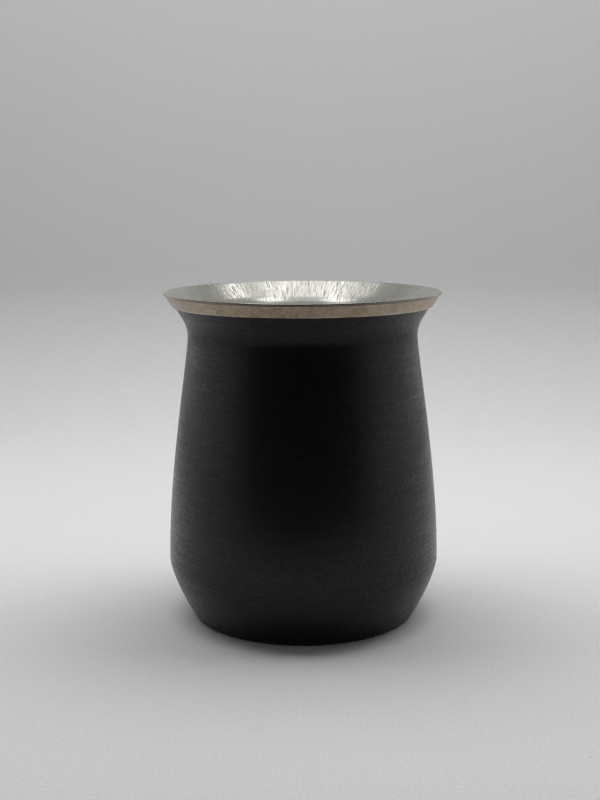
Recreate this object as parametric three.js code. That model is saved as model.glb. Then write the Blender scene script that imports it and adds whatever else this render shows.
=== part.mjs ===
// Double-walled stainless steel mate cup with a flared mouth, a bare rim band and a black coated body.
// Millimetres, +Z up, origin at the centre of the foot, on the surface that the cup stands on.
import * as THREE from 'three';

// Overall form: the neck is the narrowest place, and the lip and the belly stand out from it
const HEIGHT = 97.5;
const NECK_RADIUS = 34;
const NECK_BEND = 10.3;
const MOUTH_DEPTH = 12.9;
const MOUTH_FLARE = 7;
const BELLY_BULGE = 6.5;
const BELLY_HEIGHT = 17.5;
const FOOT_RADIUS = 32.6;
const FOOT_CORNER = 0.8;
const FOOT_RING_WIDTH = 3.6;
const FOOT_SPLAY = THREE.MathUtils.degToRad(32);

// How far the body's free curves hold the direction of their ends
const FOOT_PULL = 8.9;
const SHOULDER_PULL = 2;
const BELLY_PULL = 26.7;
const WAIST_PULL = 6;

// Sheet thicknesses, the space drawn empty between the walls, and the gap left where pieces seat
const SHELL_WALL = 0.5;
const CUP_WALL = 0.4;
const BAND_WALL = 0.3;
const PLATE_WALL = 0.5;
const COVER_WALL = 0.4;
const CLIP_WALL = 0.3;
const VACUUM_SPACE = 1.6;
const FIT_GAP = 0.3;

// Lip and rim band
const LIP_BEAD = 0.35;
const LIP_OVERHANG = 0.25;
const BAND_LAP = 0.45;
const BAND_EDGE = 0.25;

// Inside of the cup
const FUNNEL_ANGLE = THREE.MathUtils.degToRad(51);
const THROAT_BEND = 10;
const FLOOR_HEIGHT = 8;
const FLOOR_BEND = 10;

// Base: pressed plate with its evacuation dimple, the glass seal, the getter and the cover
const RECESS_DEPTH = 1.2;
const PRESS_WIDTH = 1;
const PRESS_EASE = 0.5;
const DIMPLE_RADIUS = 5;
const DIMPLE_DEPTH = 1.2;
const VENT_RADIUS = 0.8;
const SEAL_THICKNESS = 0.8;
const SEAL_CROWN_RADIUS = 2.8;
const COVER_RIM_WIDTH = 6.7;
const COVER_PANEL_DEPTH = 0.3;
const GETTER_RADIUS = 4;
const GETTER_THICKNESS = 1.6;
const GETTER_CHAMFER = 0.3;
const GETTER_MARGIN = 4.3;
const CLIP_WIDTH = 5;
const CLIP_FOOT = 3.4;
const CLIP_EASE = 0.7;

// Facets round the cup, round the base pieces and round the small inner pieces
const CUP_FACETS = 56;
const BASE_FACETS = 40;
const SMALL_FACETS = 24;

// Steps along the curves of the outlines
const FOOT_STEPS = 2;
const SHOULDER_STEPS = 6;
const WAIST_STEPS = 7;
const BEND_STEPS = 5;
const BEAD_STEPS = 8;
const EDGE_STEPS = 3;
const PRESS_STEPS = 2;
const DROP_STEPS = 4;

// Outlines lie in the half plane that is turned about the axis: x is the radius, y is the height
const point = (radius, height) => new THREE.Vector2(radius, height);

const stretch = (curve, steps) => ({ curve, steps });

const straight = (from, to) => stretch(new THREE.LineCurve(from, to), 1);

// Round stretch about a centre, from one direction to another
function round(centre, radius, from, to, steps) {
  const curve = new THREE.EllipseCurve(centre.x, centre.y, radius, radius, from, to, to < from);
  return stretch(curve, steps);
}

// Straight runs between corners, each inner corner eased by a curve that starts and ends short of it
function pressed(corners, ease) {
  const chain = [];
  let start = corners[0];
  for (let i = 1; i < corners.length - 1; i += 1) {
    const corner = corners[i];
    const entry = corners[i - 1].clone().sub(corner).setLength(ease).add(corner);
    const exit = corners[i + 1].clone().sub(corner).setLength(ease).add(corner);
    chain.push(straight(start, entry));
    chain.push(stretch(new THREE.QuadraticBezierCurve(entry, corner, exit), PRESS_STEPS));
    start = exit;
  }
  chain.push(straight(start, corners[corners.length - 1]));
  return chain;
}

// Points along a chain of stretches, each moved sideways: to the left of the way that the chain runs
function follow(chain, sideways = 0) {
  const points = [];
  chain.forEach(({ curve, steps }, index) => {
    const first = index === 0 ? 0 : 1;
    for (let step = first; step <= steps; step += 1) {
      const along = step / steps;
      const tangent = curve.getTangent(along);
      const left = point(-tangent.y, tangent.x);
      points.push(curve.getPoint(along).addScaledVector(left, sideways));
    }
  });
  return points;
}

// Outline of a sheet: one face along the chain, then the other face back
function sheet(chain, wall) {
  return [...follow(chain), ...follow(chain, wall).reverse()];
}

// Solid turned about the axis; an outline that stays off the axis is closed on itself
function turned(outline, facets) {
  const ends = [outline[0], outline[outline.length - 1]];
  const onAxis = ends.every((end) => end.x === 0);
  const closed = onAxis ? outline : [...outline, outline[0].clone()];
  const geometry = new THREE.LatheGeometry(closed, facets);
  geometry.rotateX(Math.PI / 2);
  return geometry;
}

function piece(name, geometry, color, roughness, metalness) {
  const material = new THREE.MeshStandardMaterial({ color, roughness, metalness });
  const mesh = new THREE.Mesh(geometry, material);
  mesh.name = name;
  return mesh;
}

// Directions on the flare and the funnel: the flare is tangent to the neck's bend and runs up to the lip
const neckHeight = HEIGHT - MOUTH_DEPTH;
const neckCentre = point(NECK_RADIUS + NECK_BEND, neckHeight);
const beadCentre = point(NECK_RADIUS + MOUTH_FLARE - LIP_BEAD, HEIGHT - LIP_BEAD);
const bandProud = FIT_GAP + BAND_WALL;
const beadOutside = bandProud + LIP_OVERHANG - LIP_BEAD;
const neckToBead = beadCentre.clone().sub(neckCentre);
const flareAngle =
  Math.atan2(neckToBead.y, -neckToBead.x) - Math.acos((NECK_BEND - beadOutside) / neckToBead.length());
const flareUp = point(Math.sin(flareAngle), Math.cos(flareAngle));
const flareOut = point(Math.cos(flareAngle), -Math.sin(flareAngle));
const funnelIn = point(-Math.cos(FUNNEL_ANGLE), Math.sin(FUNNEL_ANGLE));

// The funnel's inner face is tangent to the lip bead, and its outer face a wall behind
const funnelBack = LIP_BEAD - CUP_WALL;

// Sheets laid along the flare: how far each runs up before it is a gap short of the funnel's outer face
const flareStart = neckCentre.clone().addScaledVector(flareOut, -NECK_BEND);
const onFlare = (along, outside) =>
  flareStart.clone().addScaledVector(flareUp, along).addScaledVector(flareOut, outside);
const reachUnderFunnel = (outside) =>
  (funnelBack - FIT_GAP - onFlare(0, outside).sub(beadCentre).dot(funnelIn)) / flareUp.dot(funnelIn);
const shellReach = reachUnderFunnel(-SHELL_WALL);

// Heights of the base pieces, from the foot ring up
const ringInner = FOOT_RADIUS - FOOT_RING_WIDTH;
const plateRim = SHELL_WALL + FIT_GAP;
const plateUnder = plateRim + RECESS_DEPTH;
const plateTop = plateUnder + PLATE_WALL;
const dimpleUnder = plateUnder + DIMPLE_DEPTH;
const recessRadius = ringInner - PRESS_WIDTH;

// The getter's clip, and its place a margin in from the edge of the plate's raised middle
const clipLeg = GETTER_RADIUS + FIT_GAP;
const clipReach = clipLeg + CLIP_FOOT;
const getterOffset = recessRadius - GETTER_MARGIN - clipReach;

// Black coated body: foot ring, splayed base, belly, waist, neck and flare
function outerShell() {
  const cornerCentre = point(FOOT_RADIUS, FOOT_CORNER);
  const splay = point(Math.sin(FOOT_SPLAY), Math.cos(FOOT_SPLAY));
  const corner = round(cornerCentre, FOOT_CORNER, -Math.PI / 2, -FOOT_SPLAY, FOOT_STEPS);
  const cornerTop = corner.curve.getPoint(1);
  const bellyRadius = NECK_RADIUS + BELLY_BULGE;
  const belly = point(bellyRadius, BELLY_HEIGHT);
  const neck = point(NECK_RADIUS, neckHeight);
  const base = new THREE.CubicBezierCurve(
    cornerTop,
    cornerTop.clone().addScaledVector(splay, FOOT_PULL),
    point(bellyRadius, BELLY_HEIGHT - SHOULDER_PULL),
    belly,
  );
  const waist = new THREE.CubicBezierCurve(
    belly,
    point(bellyRadius, BELLY_HEIGHT + BELLY_PULL),
    point(NECK_RADIUS, neckHeight - WAIST_PULL),
    neck,
  );
  const chain = [
    straight(point(ringInner, 0), point(FOOT_RADIUS, 0)),
    corner,
    stretch(base, SHOULDER_STEPS),
    stretch(waist, WAIST_STEPS),
    round(neckCentre, NECK_BEND, Math.PI, Math.PI - flareAngle, BEND_STEPS),
    straight(flareStart, onFlare(shellReach, 0)),
  ];
  return turned(sheet(chain, SHELL_WALL), CUP_FACETS);
}

// Bare steel ring lapped over the shell's flared edge: lower edge rounded, top bevelled under the lip
function rimBand() {
  const low = shellReach - BAND_LAP;
  const underBead = beadCentre.clone().sub(flareStart).dot(flareUp) - LIP_BEAD - FIT_GAP;
  const high = Math.min(underBead, reachUnderFunnel(bandProud));
  const edgeCentre = onFlare(low + BAND_EDGE, bandProud - BAND_EDGE);
  const lowerEdge = round(edgeCentre, BAND_EDGE, -Math.PI / 2 - flareAngle, -flareAngle, EDGE_STEPS);
  const outline = [
    onFlare(low, FIT_GAP),
    ...follow([lowerEdge]),
    onFlare(high, bandProud),
    onFlare(reachUnderFunnel(FIT_GAP), FIT_GAP),
  ];
  return turned(outline, CUP_FACETS);
}

// Drawn liner: flat floor, straight bore, funnel mouth and a rolled lip bead
function innerCup() {
  const boreRadius = NECK_RADIUS - SHELL_WALL - VACUUM_SPACE - CUP_WALL;
  const throatRadius = boreRadius + THROAT_BEND;
  const throatInset = (beadCentre.x - throatRadius) * Math.cos(FUNNEL_ANGLE);
  const throatDrop = (THROAT_BEND - LIP_BEAD + throatInset) / Math.sin(FUNNEL_ANGLE);
  const throatCentre = point(throatRadius, beadCentre.y - throatDrop);
  const throatTop = throatCentre.clone().addScaledVector(funnelIn, THROAT_BEND);
  const floorCentre = point(boreRadius - FLOOR_BEND, FLOOR_HEIGHT + FLOOR_BEND);
  const beadTop = beadCentre.clone().addScaledVector(funnelIn, LIP_BEAD);
  const inside = [
    straight(point(0, FLOOR_HEIGHT), point(floorCentre.x, FLOOR_HEIGHT)),
    round(floorCentre, FLOOR_BEND, -Math.PI / 2, 0, BEND_STEPS),
    straight(point(boreRadius, floorCentre.y), point(boreRadius, throatCentre.y)),
    round(throatCentre, THROAT_BEND, Math.PI, Math.PI - FUNNEL_ANGLE, BEND_STEPS),
    straight(throatTop, beadTop),
  ];
  const beadTo = Math.PI - FUNNEL_ANGLE;
  const beadFrom = beadTo + Math.acos(funnelBack / LIP_BEAD) - 2 * Math.PI;
  const bead = round(beadCentre, LIP_BEAD, beadFrom, beadTo, BEAD_STEPS);
  const outside = follow(inside, -CUP_WALL).slice(0, -1);
  return turned([...outside, ...follow([bead]), ...follow(inside).reverse().slice(1)], CUP_FACETS);
}

// Pressed bottom resting on the foot ring: raised middle, and a dimple with the hole that air left by
function basePlate() {
  const plateRadius = FOOT_RADIUS + FOOT_CORNER - SHELL_WALL - FIT_GAP;
  const chain = pressed(
    [
      point(VENT_RADIUS, dimpleUnder),
      point(DIMPLE_RADIUS, dimpleUnder),
      point(DIMPLE_RADIUS + PRESS_WIDTH, plateUnder),
      point(recessRadius, plateUnder),
      point(ringInner, plateRim),
      point(plateRadius, plateRim),
    ],
    PRESS_EASE,
  );
  return turned(sheet(chain, PLATE_WALL), BASE_FACETS);
}

// Drop of solder glass that closes the hole, lying in the dimple
function sealBead() {
  const top = dimpleUnder - FIT_GAP;
  const radius = DIMPLE_RADIUS - FIT_GAP;
  const drop = new THREE.QuadraticBezierCurve(
    point(0, top - SEAL_THICKNESS),
    point(SEAL_CROWN_RADIUS, top - SEAL_THICKNESS),
    point(radius, top),
  );
  return turned([...drop.getPoints(DROP_STEPS), point(0, top)], SMALL_FACETS);
}

// Thin disc that hides the seal, set up into the plate's recess, with a shallow pressed panel
function baseCover() {
  const top = plateUnder - FIT_GAP;
  const radius = recessRadius - FIT_GAP;
  const panelEdge = radius - COVER_RIM_WIDTH;
  const chain = pressed(
    [
      point(0, top - COVER_WALL),
      point(panelEdge - PRESS_WIDTH, top - COVER_WALL),
      point(panelEdge, top - COVER_WALL - COVER_PANEL_DEPTH),
      point(radius, top - COVER_WALL - COVER_PANEL_DEPTH),
    ],
    PRESS_EASE,
  );
  return turned(sheet(chain, COVER_WALL), BASE_FACETS);
}

// Pill that takes up stray gas between the walls, lying on the plate
function getter() {
  const low = plateTop + FIT_GAP;
  const high = low + GETTER_THICKNESS;
  const outline = [
    point(0, low),
    point(GETTER_RADIUS - GETTER_CHAMFER, low),
    point(GETTER_RADIUS, low + GETTER_CHAMFER),
    point(GETTER_RADIUS, high - GETTER_CHAMFER),
    point(GETTER_RADIUS - GETTER_CHAMFER, high),
    point(0, high),
  ];
  return turned(outline, SMALL_FACETS);
}

// Strip bent over the getter, with two feet for its spot welds
function getterClip() {
  const footUnder = plateTop + FIT_GAP;
  const bridgeUnder = footUnder + GETTER_THICKNESS + FIT_GAP;
  const chain = pressed(
    [
      point(-clipReach, footUnder),
      point(-clipLeg, footUnder),
      point(-clipLeg, bridgeUnder),
      point(clipLeg, bridgeUnder),
      point(clipLeg, footUnder),
      point(clipReach, footUnder),
    ],
    CLIP_EASE,
  );
  const shape = new THREE.Shape(sheet(chain, CLIP_WALL));
  const geometry = new THREE.ExtrudeGeometry(shape, { depth: CLIP_WIDTH, bevelEnabled: false });
  geometry.translate(0, 0, -CLIP_WIDTH / 2);
  geometry.rotateX(Math.PI / 2);
  return geometry;
}

const cup = new THREE.Group();
cup.add(piece('outer_shell', outerShell(), 0x141414, 0.55, 0));
cup.add(piece('rim_band', rimBand(), 0xb8b2a8, 0.3, 1));
cup.add(piece('inner_cup', innerCup(), 0xd0d0cc, 0.25, 1));
cup.add(piece('base_plate', basePlate(), 0xb0b0ac, 0.4, 1));
cup.add(piece('seal_bead', sealBead(), 0x3c4248, 0.15, 0));
cup.add(piece('base_cover', baseCover(), 0xc4c4c0, 0.35, 1));

const getterSeat = new THREE.Group();
getterSeat.position.x = getterOffset;
getterSeat.add(piece('getter', getter(), 0x6a6a6c, 0.8, 0.6));
getterSeat.add(piece('getter_clip', getterClip(), 0xa8a8a6, 0.4, 1));
cup.add(getterSeat);

export default cup;
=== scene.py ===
"""Stainless steel mate cup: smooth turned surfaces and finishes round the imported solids.

Sizes are written in millimetres, as (radius, height) in the half plane that is turned about the Z axis,
and become metres when a mesh is made. Finishes, stage, lamps and camera are in metres.
The foot stands on z = 0 and the camera looks along +Y.
"""
import math

import bpy
import numpy as np
from mathutils import Matrix


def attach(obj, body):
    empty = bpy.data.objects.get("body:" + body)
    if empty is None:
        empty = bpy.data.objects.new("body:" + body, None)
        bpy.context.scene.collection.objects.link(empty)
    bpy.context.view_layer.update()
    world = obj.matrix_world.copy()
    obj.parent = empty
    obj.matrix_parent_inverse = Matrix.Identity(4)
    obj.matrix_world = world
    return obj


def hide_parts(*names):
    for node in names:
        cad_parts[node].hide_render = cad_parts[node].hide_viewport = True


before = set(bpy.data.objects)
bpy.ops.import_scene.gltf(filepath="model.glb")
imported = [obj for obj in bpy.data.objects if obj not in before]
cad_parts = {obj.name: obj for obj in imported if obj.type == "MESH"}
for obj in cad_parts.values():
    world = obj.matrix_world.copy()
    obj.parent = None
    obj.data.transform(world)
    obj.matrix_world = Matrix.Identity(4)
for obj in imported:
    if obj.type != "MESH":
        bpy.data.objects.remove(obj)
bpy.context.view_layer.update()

MILLIMETRE = 0.001

# Body, mouth and foot
HEIGHT = 97.5
NECK_RADIUS = 34.0
NECK_BEND = 10.3
MOUTH_DEPTH = 12.9
MOUTH_FLARE = 7.0
BELLY_BULGE = 6.5
BELLY_HEIGHT = 17.5
FOOT_RADIUS = 32.6
FOOT_CORNER = 0.8
FOOT_RING_WIDTH = 3.6
FOOT_SPLAY = math.radians(32)
FOOT_PULL = 8.9
SHOULDER_PULL = 2.0
BELLY_PULL = 26.7
WAIST_PULL = 6.0

# Sheets and the gaps where they seat
SHELL_WALL = 0.5
CUP_WALL = 0.4
BAND_WALL = 0.3
PLATE_WALL = 0.5
COVER_WALL = 0.4
VACUUM_SPACE = 1.6
FIT_GAP = 0.3

# Lip and rim band
LIP_BEAD = 0.35
LIP_OVERHANG = 0.25
BAND_LAP = 0.45
BAND_SEAT = 0.08
BAND_EDGE = 0.25
BAND_TOP_EDGE = 0.1

# Inside of the cup
FUNNEL_ANGLE = math.radians(51)
THROAT_BEND = 10.0
FLOOR_HEIGHT = 8.0
FLOOR_BEND = 10.0

# Base
RECESS_DEPTH = 1.2
PRESS_WIDTH = 1.0
PRESS_EASE = 0.5
DIMPLE_RADIUS = 5.0
DIMPLE_DEPTH = 1.2
VENT_RADIUS = 0.8
COVER_RIM_WIDTH = 6.7
COVER_PANEL_DEPTH = 0.3

# Columns round the axis, points along the runs of an outline, and the turn from which an edge is sharp
COLUMNS = 256
LONG_RUN = 40
BEND_RUN = 14
EDGE_RUN = 7
FLAT_RUN = 9
SHARP_TURN = math.radians(40)


def spot(radius, height):
    """Point of an outline."""
    return np.array([radius, height])


def run_with_sides(points, ways):
    """A run is its points and, for each, the unit vector to the left of its way:
    the way turned a quarter turn."""
    ways = ways / np.linalg.norm(ways, axis=1)[:, None]
    return points, np.stack([-ways[:, 1], ways[:, 0]], axis=1)


def straight(start, end, count=2):
    """Straight run: start plus even shares of the way to end."""
    share = np.linspace(0.0, 1.0, count)[:, None]
    points = start + share * (end - start)
    return run_with_sides(points, np.broadcast_to(end - start, points.shape))


def bend(centre, radius, start, end, count=BEND_RUN):
    """Round run: the centre plus radius times (cos, sin) of even angles from start to end."""
    angle = np.linspace(start, end, count)
    turn = math.copysign(1.0, end - start)
    points = centre + radius * np.stack([np.cos(angle), np.sin(angle)], axis=1)
    return run_with_sides(points, turn * np.stack([-np.sin(angle), np.cos(angle)], axis=1))


def free_curve(a, b, c, d):
    """Cubic curve: (1-t)^3 a + 3 (1-t)^2 t b + 3 (1-t) t^2 c + t^3 d, with its derivative as the way."""
    t = np.linspace(0.0, 1.0, LONG_RUN)[:, None]
    points = (1 - t) ** 3 * a + 3 * (1 - t) ** 2 * t * b + 3 * (1 - t) * t**2 * c + t**3 * d
    return run_with_sides(points, (1 - t) ** 2 * (b - a) + 2 * (1 - t) * t * (c - b) + t**2 * (d - c))


def eased(start, corner, end):
    """Eased corner: (1-t)^2 start + 2 (1-t) t corner + t^2 end."""
    t = np.linspace(0.0, 1.0, EDGE_RUN)[:, None]
    points = (1 - t) ** 2 * start + 2 * (1 - t) * t * corner + t**2 * end
    return run_with_sides(points, (1 - t) * (corner - start) + t * (end - corner))


def towards(start, end, reach):
    """Point at a reach from start on the way to end."""
    return start + (end - start) * reach / np.linalg.norm(end - start)


def pressed(corners, ease):
    """Runs of a pressed sheet: straight between the corners, each inner corner eased
    by the same reach both ways."""
    entries = [towards(b, a, ease) for a, b in zip(corners[:-2], corners[1:-1])]
    exits = [towards(b, c, ease) for b, c in zip(corners[1:-1], corners[2:])]
    starts = [corners[0], *exits]
    ends = [*entries, corners[-1]]
    runs = [straight(starts[0], ends[0], FLAT_RUN)]
    for entry, corner, leave, start, end in zip(entries, corners[1:-1], exits, starts[1:], ends[1:]):
        runs += [eased(entry, corner, leave), straight(start, end, FLAT_RUN)]
    return runs


def follow(runs, sideways=0.0):
    """Points along runs laid end to end, each moved sideways along its left vector."""
    moved = [points + sideways * left for points, left in runs]
    return np.concatenate([moved[0], *[points[1:] for points in moved[1:]]])


def sheet(runs, wall):
    """Outline of a sheet: its face along the runs, then the other face, a wall to the left, back again."""
    return np.concatenate([follow(runs), follow(runs, wall)[::-1]])


def smooth_piece(name, points, faces):
    """Object with a smooth mesh of these points, in metres, and faces."""
    mesh = bpy.data.meshes.new(name)
    mesh.from_pydata(points.tolist(), [], faces)
    mesh.polygons.foreach_set("use_smooth", np.ones(len(mesh.polygons), dtype=bool))
    piece = bpy.data.objects.new(name, mesh)
    bpy.context.scene.collection.objects.link(piece)
    return piece


def turned(name, outline):
    """Surface of revolution: outline point (r, z) goes to (r cos u, r sin u, z) at even angles u
    round the axis. Neighbouring rings are joined by quads. An outline with both ends on the axis
    closes in two fans, any other outline closes on itself."""
    on_axis = outline[0, 0] == 0.0 and outline[-1, 0] == 0.0
    rings = outline[1:-1] if on_axis else outline
    angle = np.arange(COLUMNS) * (2 * math.pi / COLUMNS)
    circle = np.stack([np.cos(angle), np.sin(angle)], axis=1)
    flat = rings[:, 0][:, None, None] * circle[None]
    upright = np.broadcast_to(rings[:, 1][:, None, None], (*flat.shape[:2], 1))
    points = np.concatenate([flat, upright], axis=2).reshape(-1, 3)
    ring = np.arange(len(rings)) * COLUMNS
    lower = (ring[:-1] if on_axis else ring)[:, None]
    upper = (ring[1:] if on_axis else np.roll(ring, -1))[:, None]
    here = np.arange(COLUMNS)[None]
    there = np.roll(here, -1, axis=1)
    quads = np.stack([lower + here, lower + there, upper + there, upper + here], axis=2)
    faces = quads.reshape(-1, 4).tolist()
    if on_axis:
        poles = np.array([[0.0, 0.0, outline[0, 1]], [0.0, 0.0, outline[-1, 1]]])
        first, last = len(points), len(points) + 1
        points = np.concatenate([points, poles])
        around, onward = here[0], there[0]
        faces += np.stack([np.full(COLUMNS, first), onward, around], axis=1).tolist()
        top = ring[-1]
        faces += np.stack([top + around, top + onward, np.full(COLUMNS, last)], axis=1).tolist()
    piece = smooth_piece(name, points * MILLIMETRE, faces)
    piece.data.set_sharp_from_angle(angle=SHARP_TURN)
    return piece


# Directions on the flare and the funnel: the flare is tangent to the neck's bend and runs up to the lip
neck_height = HEIGHT - MOUTH_DEPTH
neck_centre = spot(NECK_RADIUS + NECK_BEND, neck_height)
bead_centre = spot(NECK_RADIUS + MOUTH_FLARE - LIP_BEAD, HEIGHT - LIP_BEAD)
band_proud = FIT_GAP + BAND_WALL
bead_outside = band_proud + LIP_OVERHANG - LIP_BEAD
neck_to_bead = bead_centre - neck_centre
flare_angle = math.atan2(neck_to_bead[1], -neck_to_bead[0]) - math.acos(
    (NECK_BEND - bead_outside) / math.hypot(*neck_to_bead)
)
flare_up = spot(math.sin(flare_angle), math.cos(flare_angle))
flare_out = spot(math.cos(flare_angle), -math.sin(flare_angle))
funnel_in = spot(-math.cos(FUNNEL_ANGLE), math.sin(FUNNEL_ANGLE))
funnel_back = LIP_BEAD - CUP_WALL
flare_start = neck_centre - NECK_BEND * flare_out


def on_flare(along, outside):
    """Point on the flare: its start plus a reach up along it and a reach out from it."""
    return flare_start + along * flare_up + outside * flare_out


def reach_under_funnel(outside):
    """How far up the flare a face runs before it is a gap short of the funnel's outer face."""
    below = funnel_back - FIT_GAP - (on_flare(0.0, outside) - bead_centre) @ funnel_in
    return below / (flare_up @ funnel_in)


shell_reach = reach_under_funnel(-SHELL_WALL)
band_start = shell_reach - BAND_LAP
band_low = on_flare(band_start, band_proud)
band_high = on_flare((bead_centre - flare_start) @ flare_up - LIP_BEAD - BAND_SEAT, band_proud)
ring_inner = FOOT_RADIUS - FOOT_RING_WIDTH
plate_rim = SHELL_WALL + FIT_GAP
plate_under = plate_rim + RECESS_DEPTH
dimple_under = plate_under + DIMPLE_DEPTH
recess_radius = ring_inner - PRESS_WIDTH


def outer_shell():
    """Body sheet: foot ring, rounded corner, splayed base, belly, waist, neck bend and straight flare."""
    corner_centre = spot(FOOT_RADIUS, FOOT_CORNER)
    corner_top = corner_centre + FOOT_CORNER * spot(math.cos(FOOT_SPLAY), -math.sin(FOOT_SPLAY))
    splay = spot(math.sin(FOOT_SPLAY), math.cos(FOOT_SPLAY))
    belly_radius = NECK_RADIUS + BELLY_BULGE
    belly = spot(belly_radius, BELLY_HEIGHT)
    neck = spot(NECK_RADIUS, neck_height)
    runs = [
        straight(spot(ring_inner, 0.0), spot(FOOT_RADIUS, 0.0), FLAT_RUN),
        bend(corner_centre, FOOT_CORNER, -math.pi / 2, -FOOT_SPLAY),
        free_curve(
            corner_top,
            corner_top + FOOT_PULL * splay,
            spot(belly_radius, BELLY_HEIGHT - SHOULDER_PULL),
            belly,
        ),
        free_curve(
            belly,
            spot(belly_radius, BELLY_HEIGHT + BELLY_PULL),
            spot(NECK_RADIUS, neck_height - WAIST_PULL),
            neck,
        ),
        bend(neck_centre, NECK_BEND, math.pi, math.pi - flare_angle),
        straight(flare_start, on_flare(shell_reach, 0.0), FLAT_RUN),
    ]
    return turned("body_shell", sheet(runs, SHELL_WALL))


def rim_band():
    """Ring lapped over the flare: inner face, rounded lower edge, outer face, eased top edge
    and a bevel under the lip."""
    edge_centre = on_flare(band_start + BAND_EDGE, band_proud - BAND_EDGE)
    bevel_end = on_flare(reach_under_funnel(FIT_GAP), FIT_GAP)
    top_entry = towards(band_high, band_low, BAND_TOP_EDGE)
    top_leave = towards(band_high, bevel_end, BAND_TOP_EDGE)
    runs = [
        straight(on_flare(band_start, FIT_GAP), on_flare(band_start, band_proud - BAND_EDGE)),
        bend(edge_centre, BAND_EDGE, -math.pi / 2 - flare_angle, -flare_angle),
        straight(on_flare(band_start + BAND_EDGE, band_proud), top_entry, FLAT_RUN),
        eased(top_entry, band_high, top_leave),
        straight(top_leave, bevel_end),
    ]
    return turned("rim_ring", follow(runs))


def inner_cup():
    """Liner: flat floor, round floor edge, straight bore, throat bend, funnel and a rolled lip bead."""
    bore_radius = NECK_RADIUS - SHELL_WALL - VACUUM_SPACE - CUP_WALL
    throat_radius = bore_radius + THROAT_BEND
    throat_inset = (bead_centre[0] - throat_radius) * math.cos(FUNNEL_ANGLE)
    throat_drop = (THROAT_BEND - LIP_BEAD + throat_inset) / math.sin(FUNNEL_ANGLE)
    throat_centre = spot(throat_radius, bead_centre[1] - throat_drop)
    throat_top = throat_centre + THROAT_BEND * funnel_in
    floor_centre = spot(bore_radius - FLOOR_BEND, FLOOR_HEIGHT + FLOOR_BEND)
    bead_end = math.pi - FUNNEL_ANGLE
    bead_start = bead_end + math.acos(funnel_back / LIP_BEAD) - 2 * math.pi
    inside = [
        straight(spot(0.0, FLOOR_HEIGHT), spot(floor_centre[0], FLOOR_HEIGHT), LONG_RUN),
        bend(floor_centre, FLOOR_BEND, -math.pi / 2, 0.0),
        straight(spot(bore_radius, floor_centre[1]), spot(bore_radius, throat_centre[1]), LONG_RUN),
        bend(throat_centre, THROAT_BEND, math.pi, math.pi - FUNNEL_ANGLE),
        straight(throat_top, bead_centre + LIP_BEAD * funnel_in, FLAT_RUN),
    ]
    bead = bend(bead_centre, LIP_BEAD, bead_start, bead_end, 2 * BEND_RUN)
    outside = follow(inside, -CUP_WALL)[:-1]
    back = follow(inside)[::-1][1:]
    return turned("liner", np.concatenate([outside, follow([bead]), back]))


def base_plate():
    """Pressed bottom: raised middle on the foot ring, with a dimple round the vent hole."""
    plate_radius = FOOT_RADIUS + FOOT_CORNER - SHELL_WALL - FIT_GAP
    corners = [
        spot(VENT_RADIUS, dimple_under),
        spot(DIMPLE_RADIUS, dimple_under),
        spot(DIMPLE_RADIUS + PRESS_WIDTH, plate_under),
        spot(recess_radius, plate_under),
        spot(ring_inner, plate_rim),
        spot(plate_radius, plate_rim),
    ]
    return turned("bottom_plate", sheet(pressed(corners, PRESS_EASE), PLATE_WALL))


def base_cover():
    """Thin disc in the plate's recess: a flat middle, an eased step down and a flat rim."""
    top = plate_under - FIT_GAP
    radius = recess_radius - FIT_GAP
    panel_edge = radius - COVER_RIM_WIDTH
    corners = [
        spot(0.0, top - COVER_WALL),
        spot(panel_edge - PRESS_WIDTH, top - COVER_WALL),
        spot(panel_edge, top - COVER_WALL - COVER_PANEL_DEPTH),
        spot(radius, top - COVER_WALL - COVER_PANEL_DEPTH),
    ]
    return turned("bottom_cover", sheet(pressed(corners, PRESS_EASE), COVER_WALL))


def node(tree, kind, inputs=None, **settings):
    """Adds one shader node: settings are its own options, and inputs hold a value, or an output to link,
    for each socket."""
    made = tree.nodes.new(kind)
    for name, value in settings.items():
        setattr(made, name, value)
    for key, value in (inputs or {}).items():
        if isinstance(value, bpy.types.NodeSocket):
            tree.links.new(value, made.inputs[key])
        else:
            made.inputs[key].default_value = value
    return made


def sums(tree, operation, *values):
    """Output of a Math node."""
    return node(tree, "ShaderNodeMath", dict(enumerate(values)), operation=operation).outputs[0]


def vector_sums(tree, operation, first, second=None):
    """Vector output of a Vector Math node."""
    inputs = {0: first} if second is None else {0: first, 1: second}
    return node(tree, "ShaderNodeVectorMath", inputs, operation=operation).outputs["Vector"]


def spread(tree, value, low, high, to_low=0.0, to_high=1.0):
    """Output of a Map Range node that takes low to to_low and high to to_high and holds beyond them."""
    inputs = {"Value": value, "From Min": low, "From Max": high, "To Min": to_low, "To Max": to_high}
    return node(tree, "ShaderNodeMapRange", inputs).outputs["Result"]


def between(tree, mask, low, high):
    """Value that goes from low to high as a mask goes from 0 to 1."""
    return spread(tree, mask, 0.0, 1.0, low, high)


def share_of(tree, mask, share):
    """A mask brought down to a share of its strength."""
    return sums(tree, "MULTIPLY", mask, share)


# Colour sockets of a Mix node
MIX_FIRST = 6
MIX_SECOND = 7
MIX_RESULT = 2


def blend_colours(tree, share, first, second):
    """Output of a Mix node from the first colour to the second."""
    inputs = {"Factor": share, MIX_FIRST: first, MIX_SECOND: second}
    return node(tree, "ShaderNodeMix", inputs, data_type="RGBA").outputs[MIX_RESULT]


def height_of(tree, point):
    """Height of a point."""
    return node(tree, "ShaderNodeSeparateXYZ", {0: point}).outputs["Z"]


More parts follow.
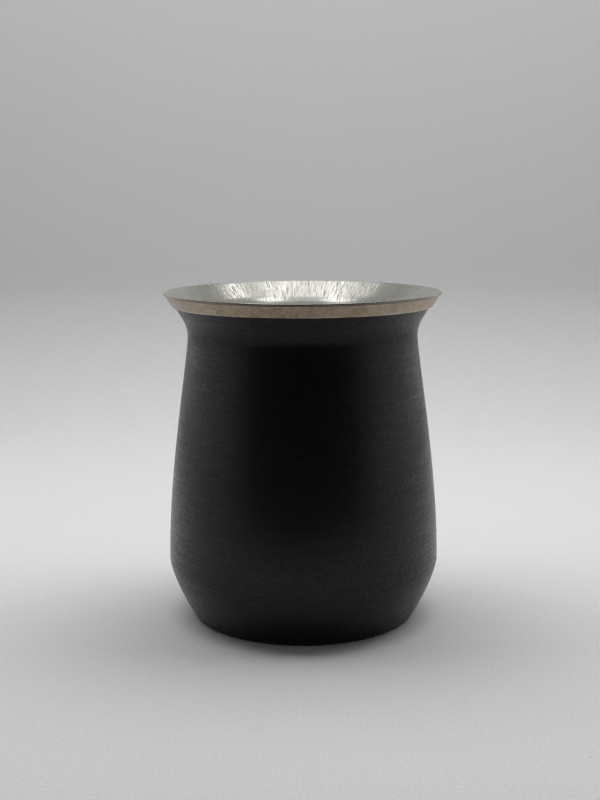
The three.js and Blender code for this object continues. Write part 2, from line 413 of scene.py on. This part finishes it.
def axis_coordinates(tree, point):
    """Splits a point into the unit vector out from the axis, the radius and the height."""
    flat = vector_sums(tree, "MULTIPLY", point, (1.0, 1.0, 0.0))
    radius = node(tree, "ShaderNodeVectorMath", {0: flat}, operation="LENGTH").outputs["Value"]
    return vector_sums(tree, "NORMALIZE", flat), radius, height_of(tree, point)


def noise(tree, place, per_metre, detail, **others):
    """Output of a Noise node with cells of one size."""
    inputs = {"Vector": place, "Scale": per_metre, "Detail": detail, **others}
    return node(tree, "ShaderNodeTexNoise", inputs).outputs["Fac"]


def noise_round_axis(tree, point, around, along, detail, lean=0.0):
    """Noise whose cells are set by one count round the axis and another along the outline,
    where height plus radius grows all the way; lean bends the cells."""
    outward, radius, height = axis_coordinates(tree, point)
    distance = sums(tree, "ADD", height, radius)
    scaled = node(tree, "ShaderNodeVectorMath", {0: outward, "Scale": around}, operation="SCALE")
    climb = node(tree, "ShaderNodeCombineXYZ", {"Z": sums(tree, "MULTIPLY", distance, along)})
    place = vector_sums(tree, "ADD", scaled.outputs["Vector"], climb.outputs[0])
    return noise(tree, place, 1.0, detail, Roughness=0.6, Distortion=lean)


VECTOR = "NodeSocketVector"
FLOAT = "NodeSocketFloat"


def new_group(name, numbers, output):
    """Shader node group that takes a point and named numbers and puts out one mask;
    gives the tree, its input sockets and its output socket."""
    tree = bpy.data.node_groups.new(name, "ShaderNodeTree")
    for label, kind in [("Point", VECTOR), *((number, FLOAT) for number in numbers)]:
        tree.interface.new_socket(name=label, in_out="INPUT", socket_type=kind)
    tree.interface.new_socket(name=output, in_out="OUTPUT", socket_type=FLOAT)
    given = tree.nodes.new("NodeGroupInput").outputs
    return tree, given, tree.nodes.new("NodeGroupOutput").inputs[output]


# Fine detail of the noise in each effect, the levels of noise between which the effect goes from none
# to full, and the share of a speck's size that is full
LINES_DETAIL = 3.0
LINES_LOW, LINES_HIGH = 0.28, 0.72
STREAKS_DETAIL = 2.0
STREAKS_LOW, STREAKS_HIGH = 0.3, 0.7
PATCHES_DETAIL = 4.0
CLOUDS_LOW, CLOUDS_HIGH = 0.35, 0.7
WEAR_DETAIL = 3.0
WEAR_LOW, WEAR_HIGH = 0.4, 0.62
SPECK_CORE = 0.5


def make_turned_lines():
    """Lines left by turning: noise that changes fast along the outline and slowly round the axis."""
    tree, given, result = new_group("turned_lines", ["Lines per Metre", "Wander"], "Lines")
    level = noise_round_axis(
        tree, given["Point"], given["Wander"], given["Lines per Metre"], LINES_DETAIL
    )
    tree.links.new(spread(tree, level, LINES_LOW, LINES_HIGH), result)
    return tree


def make_drawn_streaks():
    """Streaks left by polishing along the outline: noise that changes fast round the axis, slowly along."""
    tree, given, result = new_group("drawn_streaks", ["Round", "Per Metre", "Lean"], "Streaks")
    level = noise_round_axis(
        tree, given["Point"], given["Round"], given["Per Metre"], STREAKS_DETAIL, given["Lean"]
    )
    tree.links.new(spread(tree, level, STREAKS_LOW, STREAKS_HIGH), result)
    return tree


def make_patches():
    """Soft uneven patches: noise cut between a low and a high level."""
    tree, given, result = new_group("patches", ["Per Metre", "Low", "High"], "Mask")
    level = noise(tree, given["Point"], given["Per Metre"], PATCHES_DETAIL, Roughness=0.55)
    tree.links.new(spread(tree, level, given["Low"], given["High"]), result)
    return tree


def make_specks():
    """Small dots: the middle of each cell whose own random value is above one minus the share."""
    tree, given, result = new_group("specks", ["Per Metre", "Size", "Share"], "Mask")
    inputs = {"Vector": given["Point"], "Scale": given["Per Metre"]}
    cells = node(tree, "ShaderNodeTexVoronoi", inputs).outputs
    chance = node(tree, "ShaderNodeSeparateColor", {0: cells["Color"]}).outputs[0]
    chosen = sums(tree, "GREATER_THAN", chance, sums(tree, "SUBTRACT", 1.0, given["Share"]))
    dot = spread(tree, cells["Distance"], given["Size"], share_of(tree, given["Size"], SPECK_CORE))
    tree.links.new(sums(tree, "MULTIPLY", dot, chosen), result)
    return tree


def make_edge_wear_and_highlight():
    """Mask along an edge at one height: full there, gone at a reach from it, broken up by noise; real wear
    on the coat's foot, a painted highlight on the band's edges.
    """
    tree, given, result = new_group("edge_wear_and_highlight", ["Height", "Reach", "Per Metre"], "Mask")
    above = sums(tree, "SUBTRACT", height_of(tree, given["Point"]), given["Height"])
    near = spread(tree, sums(tree, "ABSOLUTE", above), given["Reach"], 0.0)
    level = noise(tree, given["Point"], given["Per Metre"], WEAR_DETAIL)
    broken = spread(tree, level, WEAR_LOW, WEAR_HIGH)
    tree.links.new(sums(tree, "MULTIPLY", near, broken), result)
    return tree


EFFECTS = {
    "turned_lines": make_turned_lines(),
    "drawn_streaks": make_drawn_streaks(),
    "patches": make_patches(),
    "specks": make_specks(),
    "edge_wear_and_highlight": make_edge_wear_and_highlight(),
}


def effect(tree, name, point, **values):
    """Places a shared effect in a material with its own values; here underscores stand for the spaces
    in the names of its sockets."""
    inputs = {key.replace("_", " "): value for key, value in values.items()}
    return node(tree, "ShaderNodeGroup", {"Point": point, **inputs}, node_tree=EFFECTS[name]).outputs[0]


def cloudy(tree, point, per_metre):
    """Soft clouds, for a tone or a roughness that varies a little."""
    return effect(tree, "patches", point, Per_Metre=per_metre, Low=CLOUDS_LOW, High=CLOUDS_HIGH)


def new_material(name):
    """Material with a Principled BSDF; gives the material, its tree, the shader and Object coordinates."""
    material = bpy.data.materials.new(name)
    material.use_nodes = True
    tree = material.node_tree
    shader = tree.nodes["Principled BSDF"]
    point = tree.nodes.new("ShaderNodeTexCoord").outputs["Object"]
    return material, tree, shader, point


def lay_on(tree, shader, tone, relief, strength, depth, invert=False):
    """Feeds the shader its colour, and its normal from a relief of some strength and depth."""
    inputs = {"Strength": strength, "Distance": depth, "Height": relief}
    bump = node(tree, "ShaderNodeBump", inputs, invert=invert)
    tree.links.new(tone, shader.inputs["Base Color"])
    tree.links.new(bump.outputs[0], shader.inputs["Normal"])


QUARTER_TURN = 0.25


def turned_metal(tree, shader, stretch):
    """Bare metal whose highlights are stretched along the outline, across lines that run round the axis."""
    tangent = node(tree, "ShaderNodeTangent", direction_type="RADIAL", axis="Z")
    tree.links.new(tangent.outputs[0], shader.inputs["Tangent"])
    shader.inputs["Metallic"].default_value = 1.0
    shader.inputs["Anisotropic"].default_value = stretch
    shader.inputs["Anisotropic Rotation"].default_value = QUARTER_TURN


def grey(level, warmth=0.0):
    """Grey colour, made warmer by taking blue out and half as much green."""
    return (level, level * (1 - warmth / 2), level * (1 - warmth), 1.0)


# Black coat of the body: its texture of lines and grain, tones and roughness
COAT_LINE_SHARE = 0.4
COAT_GRAIN_SHARE = 0.6
COAT_DARK = grey(0.0, 0.1)
COAT_LIGHT = grey(0.0035, 0.12)
COAT_DUST = grey(0.03)
COAT_DUST_SHARE = 0.6
COAT_RUBBED = grey(0.09)
COAT_RUBBED_SHARE = 0.5
COAT_RUBBED_REACH = 0.0009
COAT_SMOOTH = 0.2
COAT_ROUGH = 0.46
COAT_CLOUD_ROUGH = 0.04
COAT_BUMP = 0.6
COAT_RELIEF = 0.00025
COAT_MIRROR = 0.1

# Thin gloss on the coat: heavier in the low spots of the texture, lighter at the neck than at the belly
GLOSS_LOW_SPOTS = 0.5
GLOSS_HIGH_SPOTS = 0.15
GLOSS_NECK_HEIGHT = 0.078
GLOSS_NECK_SHARE = 0.83
GLOSS_BELLY_HEIGHT = 0.03
GLOSS_BELLY_SHARE = 1.22
GLOSS_ROUGH = 0.22


def black_coat():
    """Satin black with fine turned lines, a little dust and a rubbed foot."""
    material, tree, shader, point = new_material("black_coat")
    lines = effect(tree, "turned_lines", point, Lines_per_Metre=1500.0, Wander=3.0)
    clouds = cloudy(tree, point, per_metre=90.0)
    grain = effect(tree, "patches", point, Per_Metre=2000.0, Low=0.38, High=0.62)
    dust = effect(tree, "specks", point, Per_Metre=420.0, Size=0.09, Share=0.12)
    rubbed = effect(tree, "edge_wear_and_highlight", point, Height=0.0, Reach=COAT_RUBBED_REACH, Per_Metre=700.0)
    texture = sums(
        tree, "MULTIPLY_ADD", lines, COAT_LINE_SHARE, share_of(tree, grain, COAT_GRAIN_SHARE)
    )
    tone = blend_colours(tree, texture, COAT_DARK, COAT_LIGHT)
    tone = blend_colours(tree, share_of(tree, dust, COAT_DUST_SHARE), tone, COAT_DUST)
    tone = blend_colours(tree, share_of(tree, rubbed, COAT_RUBBED_SHARE), tone, COAT_RUBBED)
    lay_on(tree, shader, tone, texture, COAT_BUMP, COAT_RELIEF)
    texture_rough = between(tree, texture, COAT_SMOOTH, COAT_ROUGH)
    cloud_rough = between(tree, clouds, 0.0, COAT_CLOUD_ROUGH)
    tree.links.new(sums(tree, "ADD", texture_rough, cloud_rough), shader.inputs["Roughness"])
    gloss = between(tree, texture, GLOSS_LOW_SPOTS, GLOSS_HIGH_SPOTS)
    height = height_of(tree, point)
    weight = spread(
        tree, height, GLOSS_NECK_HEIGHT, GLOSS_BELLY_HEIGHT, GLOSS_NECK_SHARE, GLOSS_BELLY_SHARE
    )
    tree.links.new(sums(tree, "MULTIPLY", gloss, weight), shader.inputs["Coat Weight"])
    shader.inputs["Coat Roughness"].default_value = GLOSS_ROUGH
    shader.inputs["Specular IOR Level"].default_value = COAT_MIRROR
    return material


# Streaks of the funnel: counts round the axis and along the outline, their lean, the levels between which
# they go from none to full, the roughness between and on them, and the radii where they end and are full
STREAKS_ROUND = 170.0
STREAKS_PER_METRE = 200.0
STREAK_LEAN = 0.3
STREAK_LOW = 0.36
STREAK_HIGH = 0.85
STREAK_BETWEEN_ROUGH = 0.12
STREAK_ROUGH = 0.6
STREAK_BUMP = 0.15
STREAK_RELIEF = 0.00005
STREAK_END_RADIUS = 0.032
STREAK_FULL_RADIUS = 0.0341

# Funnel, bore and the lip's outer face, which starts at the bead's middle and below its shoulder; the outer
# face's dark tone is painted shade, for the dark line under the lip
FUNNEL_LIGHT = (0.6, 0.59, 0.545, 1.0)
FUNNEL_DARK = (0.53, 0.525, 0.485, 1.0)
BORE_TONE = grey(0.66, 0.03)
BORE_ROUGH = 0.2
BORE_LINE_ROUGH = 0.16
BORE_LINE_RELIEF = 0.15
LIP_SHADE_TONE = (0.2, 0.18, 0.15, 1.0)
LIP_FADE = 0.0002
LIP_SHOULDER_TOP = 0.00031
LIP_SHOULDER_END = 0.0002
LINER_STRETCH = 0.3


def liner_steel():
    """Satin bore, bright streaked funnel and a darker outer face on the lip, which is painted shade."""
    material, tree, shader, point = new_material("liner_steel")
    lines = effect(tree, "turned_lines", point, Lines_per_Metre=2200.0, Wander=6.0)
    streaks = effect(
        tree, "drawn_streaks", point, Round=STREAKS_ROUND, Per_Metre=STREAKS_PER_METRE, Lean=STREAK_LEAN
    )
    _, radius, height = axis_coordinates(tree, point)
    mouth = spread(tree, radius, STREAK_END_RADIUS, STREAK_FULL_RADIUS)
    bead_radius, bead_height = bead_centre * MILLIMETRE
    outside = spread(tree, radius, bead_radius - LIP_FADE, bead_radius)
    under = spread(tree, height, bead_height + LIP_SHOULDER_TOP, bead_height + LIP_SHOULDER_END)
    shaded_lip_face = sums(tree, "MULTIPLY", outside, under)
    tone = blend_colours(tree, cloudy(tree, point, per_metre=70.0), FUNNEL_LIGHT, FUNNEL_DARK)
    tone = blend_colours(tree, mouth, BORE_TONE, tone)
    # Painted shade: a dark tone on the lip's outer face, under the bead's shoulder, for the dark line under
    # the lip
    tone = blend_colours(tree, shaded_lip_face, tone, LIP_SHADE_TONE)
    funnel = sums(tree, "MULTIPLY", mouth, sums(tree, "SUBTRACT", 1.0, shaded_lip_face))
    marks = sums(tree, "MULTIPLY", streaks, funnel)
    relief = sums(tree, "MULTIPLY_ADD", lines, BORE_LINE_RELIEF, marks)
    lay_on(tree, shader, tone, relief, STREAK_BUMP, STREAK_RELIEF)
    polish = spread(tree, marks, STREAK_LOW, STREAK_HIGH, STREAK_BETWEEN_ROUGH, STREAK_ROUGH)
    satin = sums(tree, "MULTIPLY_ADD", lines, BORE_LINE_ROUGH, BORE_ROUGH)
    tree.links.new(between(tree, mouth, satin, polish), shader.inputs["Roughness"])
    turned_metal(tree, shader, LINER_STRETCH)
    return material


# Relief and stretched highlights of turned sheet steel
SHEET_BUMP = 0.5
SHEET_RELIEF = 0.00006
SHEET_STRETCH = 0.4

# Rim band: warm cloudy tones, dark scuffs, and a paler tone at its lower edge and less at its upper one,
# which is a painted highlight along the edges
BAND_DARK = (0.24, 0.2, 0.13, 1.0)
BAND_LIGHT = (0.34, 0.285, 0.21, 1.0)
BAND_MOTTLE = (0.42, 0.345, 0.28, 1.0)
BAND_MOTTLE_SHARE = 0.6
BAND_SCUFF = grey(0.14, 0.35)
BAND_SCUFF_SHARE = 0.6
BAND_SCUFF_LEVEL = 0.25
BAND_EDGE_HIGHLIGHT = grey(0.55, 0.2)
BAND_LOW_HIGHLIGHT_REACH = 0.0007
BAND_HIGH_HIGHLIGHT_REACH = 0.0005
BAND_HIGH_HIGHLIGHT_SHARE = 0.4
BAND_HIGHLIGHT_PER_METRE = 150.0
BAND_SMOOTH = 0.28
BAND_ROUGH = 0.4
BAND_CLOUD_ROUGH = 0.06
BAND_LINE_RELIEF = 0.7


def band_steel():
    """Warm brushed steel with mottling, scuffs and a painted highlight along its edges."""
    material, tree, shader, point = new_material("band_steel")

    def edge_highlight(edge, reach):
        """Painted highlight at the height of one edge of the band."""
        height = edge[1] * MILLIMETRE
        return effect(tree, "edge_wear_and_highlight", point, Height=height, Reach=reach, Per_Metre=BAND_HIGHLIGHT_PER_METRE)

    lines = effect(tree, "turned_lines", point, Lines_per_Metre=2600.0, Wander=14.0)
    scuffs = effect(tree, "drawn_streaks", point, Round=60.0, Per_Metre=420.0, Lean=0.6)
    clouds = effect(tree, "patches", point, Per_Metre=260.0, Low=0.35, High=0.68)
    mottle = effect(tree, "patches", point, Per_Metre=900.0, Low=0.35, High=0.65)
    low_edge_highlight = edge_highlight(band_low, BAND_LOW_HIGHLIGHT_REACH)
    high_edge_highlight = edge_highlight(band_high, BAND_HIGH_HIGHLIGHT_REACH)
    painted_highlight = sums(tree, "MULTIPLY_ADD", high_edge_highlight, BAND_HIGH_HIGHLIGHT_SHARE, low_edge_highlight)
    scuffed = spread(tree, scuffs, BAND_SCUFF_LEVEL, 0.0, 0.0, BAND_SCUFF_SHARE)
    tone = blend_colours(tree, clouds, BAND_DARK, BAND_LIGHT)
    tone = blend_colours(tree, share_of(tree, mottle, BAND_MOTTLE_SHARE), tone, BAND_MOTTLE)
    tone = blend_colours(tree, scuffed, tone, BAND_SCUFF)
    # Painted highlight: a paler tone along the band's lower edge and, weaker, along its upper one, broken
    # up by noise
    tone = blend_colours(tree, painted_highlight, tone, BAND_EDGE_HIGHLIGHT)
    relief = sums(tree, "MULTIPLY_ADD", lines, BAND_LINE_RELIEF, scuffs)
    lay_on(tree, shader, tone, relief, SHEET_BUMP, SHEET_RELIEF)
    line_rough = between(tree, lines, BAND_SMOOTH, BAND_ROUGH)
    cloud_rough = between(tree, clouds, BAND_CLOUD_ROUGH, 0.0)
    tree.links.new(sums(tree, "ADD", line_rough, cloud_rough), shader.inputs["Roughness"])
    turned_metal(tree, shader, SHEET_STRETCH)
    return material


# Base pieces of sheet steel: warmth of the tone and of its clouds, the share of the tone left in a cloud,
# and the roughness that lines add
ROLLED_WARMTH = 0.05
ROLLED_CLOUD_WARMTH = 0.08
ROLLED_CLOUD_SHARE = 0.9
ROLLED_LINE_ROUGH = 0.12


def rolled_steel(name, level, roughness, lines_per_metre):
    """Plain sheet steel of the base pieces: turned lines over a cloudy tone."""
    material, tree, shader, point = new_material(name)
    lines = effect(tree, "turned_lines", point, Lines_per_Metre=lines_per_metre, Wander=5.0)
    light = grey(level, ROLLED_WARMTH)
    dark = grey(level * ROLLED_CLOUD_SHARE, ROLLED_CLOUD_WARMTH)
    tone = blend_colours(tree, cloudy(tree, point, per_metre=110.0), light, dark)
    lay_on(tree, shader, tone, lines, SHEET_BUMP, SHEET_RELIEF)
    rough = between(tree, lines, roughness, roughness + ROLLED_LINE_ROUGH)
    tree.links.new(rough, shader.inputs["Roughness"])
    turned_metal(tree, shader, SHEET_STRETCH)
    return material


# Solder glass of the seal
GLASS_DARK = grey(0.03)
GLASS_LIGHT = grey(0.06)
GLASS_BUBBLE = grey(0.2)
GLASS_BUBBLE_SHARE = 0.5
GLASS_SMOOTH = 0.12
GLASS_ROUGH = 0.22
GLASS_BUMP = 0.2
GLASS_RELIEF = 0.00005


def seal_glass():
    """Dark glass, cloudy and with small bubbles."""
    material, tree, shader, point = new_material("seal_glass")
    clouds = cloudy(tree, point, per_metre=600.0)
    bubbles = effect(tree, "specks", point, Per_Metre=1600.0, Size=0.2, Share=0.3)
    tone = blend_colours(tree, clouds, GLASS_DARK, GLASS_LIGHT)
    tone = blend_colours(tree, share_of(tree, bubbles, GLASS_BUBBLE_SHARE), tone, GLASS_BUBBLE)
    lay_on(tree, shader, tone, clouds, GLASS_BUMP, GLASS_RELIEF)
    tree.links.new(between(tree, clouds, GLASS_SMOOTH, GLASS_ROUGH), shader.inputs["Roughness"])
    return material


# Pressed metal powder of the getter
GETTER_DARK = grey(0.16)
GETTER_LIGHT = grey(0.26, 0.05)
GETTER_PORE = grey(0.05)
GETTER_PORE_SHARE = 0.7
GETTER_SMOOTH = 0.7
GETTER_ROUGH = 0.85
GETTER_BUMP = 0.6
GETTER_RELIEF = 0.00006
GETTER_METAL = 0.6


def getter_metal():
    """Dull grey metal with sunk pores."""
    material, tree, shader, point = new_material("getter_metal")
    clouds = cloudy(tree, point, per_metre=900.0)
    pores = effect(tree, "specks", point, Per_Metre=4200.0, Size=0.35, Share=0.5)
    tone = blend_colours(tree, clouds, GETTER_DARK, GETTER_LIGHT)
    tone = blend_colours(tree, share_of(tree, pores, GETTER_PORE_SHARE), tone, GETTER_PORE)
    lay_on(tree, shader, tone, pores, GETTER_BUMP, GETTER_RELIEF, invert=True)
    tree.links.new(between(tree, clouds, GETTER_SMOOTH, GETTER_ROUGH), shader.inputs["Roughness"])
    shader.inputs["Metallic"].default_value = GETTER_METAL
    return material


def dress(piece, material, cad_node):
    """Gives a new piece its finish and lets it stand for its CAD node on the one body."""
    piece.data.materials.append(material)
    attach(piece, "root")
    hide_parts(cad_node)


def finish_solid(cad_node, material):
    """Gives a CAD node that stays a new finish."""
    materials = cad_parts[cad_node].data.materials
    materials.clear()
    materials.append(material)


plate_steel = rolled_steel("plate_steel", level=0.5, roughness=0.3, lines_per_metre=1200.0)
cover_steel = rolled_steel("cover_steel", level=0.6, roughness=0.24, lines_per_metre=1800.0)
clip_steel = rolled_steel("clip_steel", level=0.55, roughness=0.28, lines_per_metre=2400.0)

dress(outer_shell(), black_coat(), "outer_shell")
dress(rim_band(), band_steel(), "rim_band")
dress(inner_cup(), liner_steel(), "inner_cup")
dress(base_plate(), plate_steel, "base_plate")
dress(base_cover(), cover_steel, "base_cover")
finish_solid("seal_bead", seal_glass())
finish_solid("getter", getter_metal())
finish_solid("getter_clip", clip_steel)

# Paper sweep and the table under it, in metres
SWEEP_HALF_WIDTH = 0.25
SWEEP_FRONT = -0.24
SWEEP_BEND_START = 0.27
SWEEP_BEND_RADIUS = 0.08
SWEEP_TOP = 0.5
TABLE_HALF_WIDTH = 0.7
TABLE_BACK = 0.6
TABLE_DROP = 0.0004

# Paper: pale floor that turns into a greyer wall within the height of the bend; the wall's greyer tone is
# painted shade, for the wall getting less light
PAPER_FLOOR = grey(0.84)
PAPER_FLOOR_CLOUD = grey(0.88)
PAPER_FIBRE = grey(0.74)
PAPER_FIBRE_SHARE = 0.8
PAPER_WALL_SHADE = grey(0.635)
PAPER_WALL_SHADE_FIBRE = grey(0.595)
PAPER_WALL_SHADE_HEIGHT = 0.07
PAPER_CRUMB = grey(0.45, 0.05)
PAPER_CRUMB_SHARE = 0.5
PAPER_BUMP = 0.15
PAPER_RELIEF = 0.00005
PAPER_ROUGH = 0.9
PAPER_MIRROR = 0.2


def backdrop_paper():
    """Matt paper with short fibres, faint clouds and a few crumbs, greyer up the wall as painted shade."""
    material, tree, shader, point = new_material("backdrop_paper")
    fibre = effect(tree, "patches", point, Per_Metre=1300.0, Low=0.3, High=0.7)
    clouds = effect(tree, "patches", point, Per_Metre=5.0, Low=0.3, High=0.7)
    crumbs = effect(tree, "specks", point, Per_Metre=45.0, Size=0.03, Share=0.25)
    floor = blend_colours(tree, clouds, PAPER_FLOOR, PAPER_FLOOR_CLOUD)
    floor = blend_colours(tree, share_of(tree, fibre, PAPER_FIBRE_SHARE), floor, PAPER_FIBRE)
    wall = blend_colours(tree, fibre, PAPER_WALL_SHADE, PAPER_WALL_SHADE_FIBRE)
    wall_shade = spread(tree, height_of(tree, point), 0.0, PAPER_WALL_SHADE_HEIGHT)
    # Painted shade: the paper turns greyer up the wall, within the height of the bend
    tone = blend_colours(tree, wall_shade, floor, wall)
    tone = blend_colours(tree, share_of(tree, crumbs, PAPER_CRUMB_SHARE), tone, PAPER_CRUMB)
    lay_on(tree, shader, tone, fibre, PAPER_BUMP, PAPER_RELIEF)
    shader.inputs["Roughness"].default_value = PAPER_ROUGH
    shader.inputs["Specular IOR Level"].default_value = PAPER_MIRROR
    return material


def carried(name, line, half_width, material):
    """Sheet of the stage: a line in the YZ plane, carried along X from plus to minus half its width."""
    across = np.repeat([half_width, -half_width], len(line))
    points = np.column_stack([across, np.tile(line, (2, 1))])
    near = np.arange(len(line) - 1)
    far = near + len(line)
    faces = np.stack([near, near + 1, far + 1, far], axis=1)
    piece = smooth_piece(name, points, faces.tolist())
    piece.data.materials.append(material)


def stage():
    """Sweep: a floor line, a quarter circle and a wall line; the table is one line a little lower."""
    wall = SWEEP_BEND_START + SWEEP_BEND_RADIUS
    bend_centre = spot(SWEEP_BEND_START, SWEEP_BEND_RADIUS)
    sweep = [
        straight(spot(SWEEP_FRONT, 0.0), spot(SWEEP_BEND_START, 0.0), FLAT_RUN),
        bend(bend_centre, SWEEP_BEND_RADIUS, -math.pi / 2, 0.0, LONG_RUN),
        straight(spot(wall, SWEEP_BEND_RADIUS), spot(wall, SWEEP_TOP), FLAT_RUN),
    ]
    table = straight(spot(SWEEP_FRONT, -TABLE_DROP), spot(TABLE_BACK, -TABLE_DROP), FLAT_RUN)
    paper = backdrop_paper()
    carried("backdrop", follow(sweep), SWEEP_HALF_WIDTH, paper)
    carried("table", follow([table]), TABLE_HALF_WIDTH, paper)


stage()

# Lamp that lights the stage, in metres and watts; nothing glossy mirrors it
LIGHT_SIZE = (0.8, 0.27)
LIGHT_PLACE = (0.02, 0.09, 0.45)
LIGHT_POWER = 2.23

# Lamp shapes that show only as shine on glossy surfaces, in layers from the top down: left, right, front
# and back edges in metres, and brightness. The front ones are for the throat's bend, the others for
# the funnel
SHINE_TOP = 0.441
SHINE_STEP = 0.001
SHINE_LAYERS = (
    {"shine_ceiling": (-0.3, 0.3, -0.25, 0.45, 0.32)},
    {"shine_field": (-0.14, 0.148, -0.1, 0.215, 0.36)},
    {
        "shine_middle": (-0.096, 0.078, 0.035, 0.145, 0.87),
        "shine_right": (0.12, 0.162, 0.155, 0.198, 3.8),
        "shine_left": (-0.138, -0.12, 0.12, 0.21, 1.3),
    },
    {
        "shine_middle_right": (0.04, 0.077, 0.06, 0.145, 0.6),
        "shine_middle_left": (-0.097, -0.058, 0.06, 0.15, 0.55),
        "shine_front_right": (0.064, 0.14, -0.06, 0.05, 2.0),
        "shine_front_left": (-0.175, -0.084, -0.07, 0.07, 1.9),
    },
)


def overhead_lamp(name, size, place, power):
    """Flat lamp that shines straight down."""
    lamp = bpy.data.lights.new(name, "AREA")
    lamp.shape = "RECTANGLE"
    lamp.size, lamp.size_y = size
    lamp.energy = power
    holder = bpy.data.objects.new(name, lamp)
    holder.location = place
    bpy.context.scene.collection.objects.link(holder)
    return holder


def shine_lamp(name, shape, height):
    """Lamp between left, right, front and back edges; its power is brightness times pi times its area."""
    left, right, front, back, brightness = shape
    size = (right - left, back - front)
    place = ((left + right) / 2, (front + back) / 2, height)
    power = brightness * math.pi * size[0] * size[1]
    overhead_lamp(name, size, place, power).visible_diffuse = False


overhead_lamp("light_lamp", LIGHT_SIZE, LIGHT_PLACE, LIGHT_POWER).visible_glossy = False
for layer, shapes in enumerate(SHINE_LAYERS):
    for lamp_name, lamp_shape in shapes.items():
        shine_lamp(lamp_name, lamp_shape, SHINE_TOP - layer * SHINE_STEP)

# Room round the stage: bright low down at the sides, dim above, dark on the camera's side.
# Its parts start and end at heights and depths of a direction of length 1: up is plus, and so is
# away from the camera
ROOM_TOP = grey(0.06)
ROOM_SIDE = grey(0.82)
ROOM_BACK = grey(0.95)
ROOM_FRONT = grey(0.03)
ROOM_SIDE_END = 0.6
ROOM_SIDE_FULL = 0.3
ROOM_BACK_START = 0.3
ROOM_BACK_FULL = 0.8
ROOM_FRONT_START = -0.2
ROOM_FRONT_FULL = -0.7


def room():
    """World whose tone goes by direction."""
    world = bpy.data.worlds.new("room")
    bpy.context.scene.world = world
    world.use_nodes = True
    tree = world.node_tree
    way = tree.nodes.new("ShaderNodeTexCoord").outputs["Generated"]
    parts = node(tree, "ShaderNodeSeparateXYZ", {0: way}).outputs
    in_front = spread(tree, parts["Y"], ROOM_FRONT_START, ROOM_FRONT_FULL)
    behind = spread(tree, parts["Y"], ROOM_BACK_START, ROOM_BACK_FULL)
    low_down = spread(tree, parts["Z"], ROOM_SIDE_END, ROOM_SIDE_FULL)
    tone = blend_colours(tree, low_down, ROOM_TOP, blend_colours(tree, behind, ROOM_SIDE, ROOM_BACK))
    tone = blend_colours(tree, in_front, tone, ROOM_FRONT)
    tree.links.new(tone, tree.nodes["Background"].inputs["Color"])


room()

# Camera, in metres and degrees
CAMERA_PLACE = (-0.00086, -0.3719, 0.1287)
CAMERA_PITCH = 9.74
CAMERA_ROLL = -0.26
CAMERA_LENS = 56.7


def camera():
    """Camera that looks along +Y, pitched down and rolled a little."""
    data = bpy.data.cameras.new("camera")
    data.lens = CAMERA_LENS
    holder = bpy.data.objects.new("camera", data)
    tilt = Matrix.Rotation(math.radians(90 - CAMERA_PITCH), 4, "X")
    roll = Matrix.Rotation(math.radians(CAMERA_ROLL), 4, "Z")
    holder.matrix_world = Matrix.Translation(CAMERA_PLACE) @ tilt @ roll
    bpy.context.scene.collection.objects.link(holder)
    bpy.context.scene.camera = holder


camera()
bpy.context.scene.view_settings.view_transform = "Standard"
